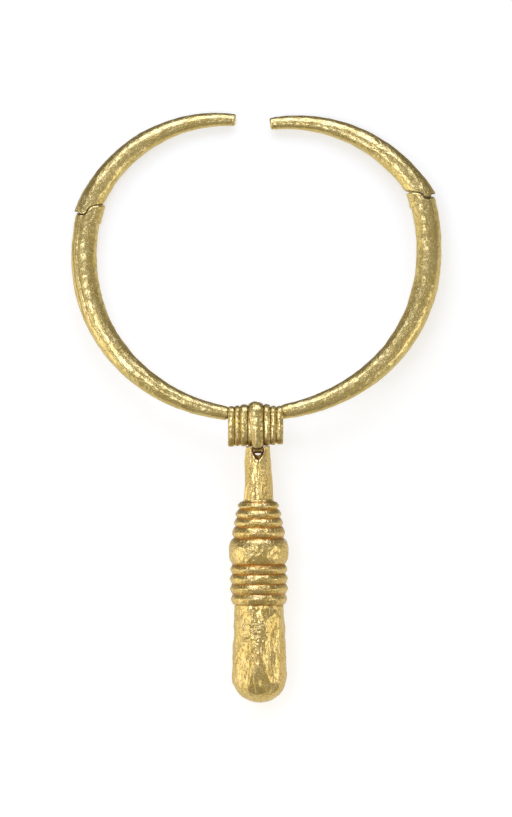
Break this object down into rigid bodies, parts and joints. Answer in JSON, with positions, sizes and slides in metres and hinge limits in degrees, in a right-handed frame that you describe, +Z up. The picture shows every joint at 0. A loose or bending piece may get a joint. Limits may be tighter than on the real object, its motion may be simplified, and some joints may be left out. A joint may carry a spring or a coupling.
{
  "type": "hinged neck collar with drop pendant",
  "caption": "Hammered gold neck collar with two hinged arms, a ribbed bail on the front bar and a ringed club-shaped drop on a pin.",
  "frame": {"origin": "on the ground under the middle of the object's outline, as it lies on its back", "axes": "+Z up, +Y from the end of the drop through the bail to the open tips of the arms, +X to the right seen from above"},
  "size_m": [0.1388, 0.2212, 0.0222],
  "materials": {
    "collar_gold": "hammered, polished gold, pale",
    "drop_gold": "hammered, polished gold, warm"
  },
  "bodies": {
    "collar": {"front_bar": "collar_gold", "bail": "collar_gold", "left_hinge_pin": "collar_gold", "right_hinge_pin": "collar_gold"},
    "left_arm": {"left_arm": "collar_gold"},
    "right_arm": {"right_arm": "collar_gold"},
    "drop": {"drop": "drop_gold", "drop_pin": "drop_gold"}
  },
  "joints": [
    {"name": "left_arm_hinge", "type": "hinge", "parent": "collar", "child": "left_arm", "pos_m": [-0.06531, 0.07402, 0.00554], "axis": [0, 0.0701, 0.9975], "range_deg": [0, 20]},
    {"name": "right_arm_hinge", "type": "hinge", "parent": "collar", "child": "right_arm", "pos_m": [0.06399, 0.08041, 0.00509], "axis": [0, -0.0701, -0.9975], "range_deg": [0, 20]},
    {"name": "drop_swing", "type": "hinge", "parent": "collar", "child": "drop", "pos_m": [0.00054, -0.01556, 0.01183], "axis": [-1, 0, 0], "range_deg": [0, 28]}
  ]
}
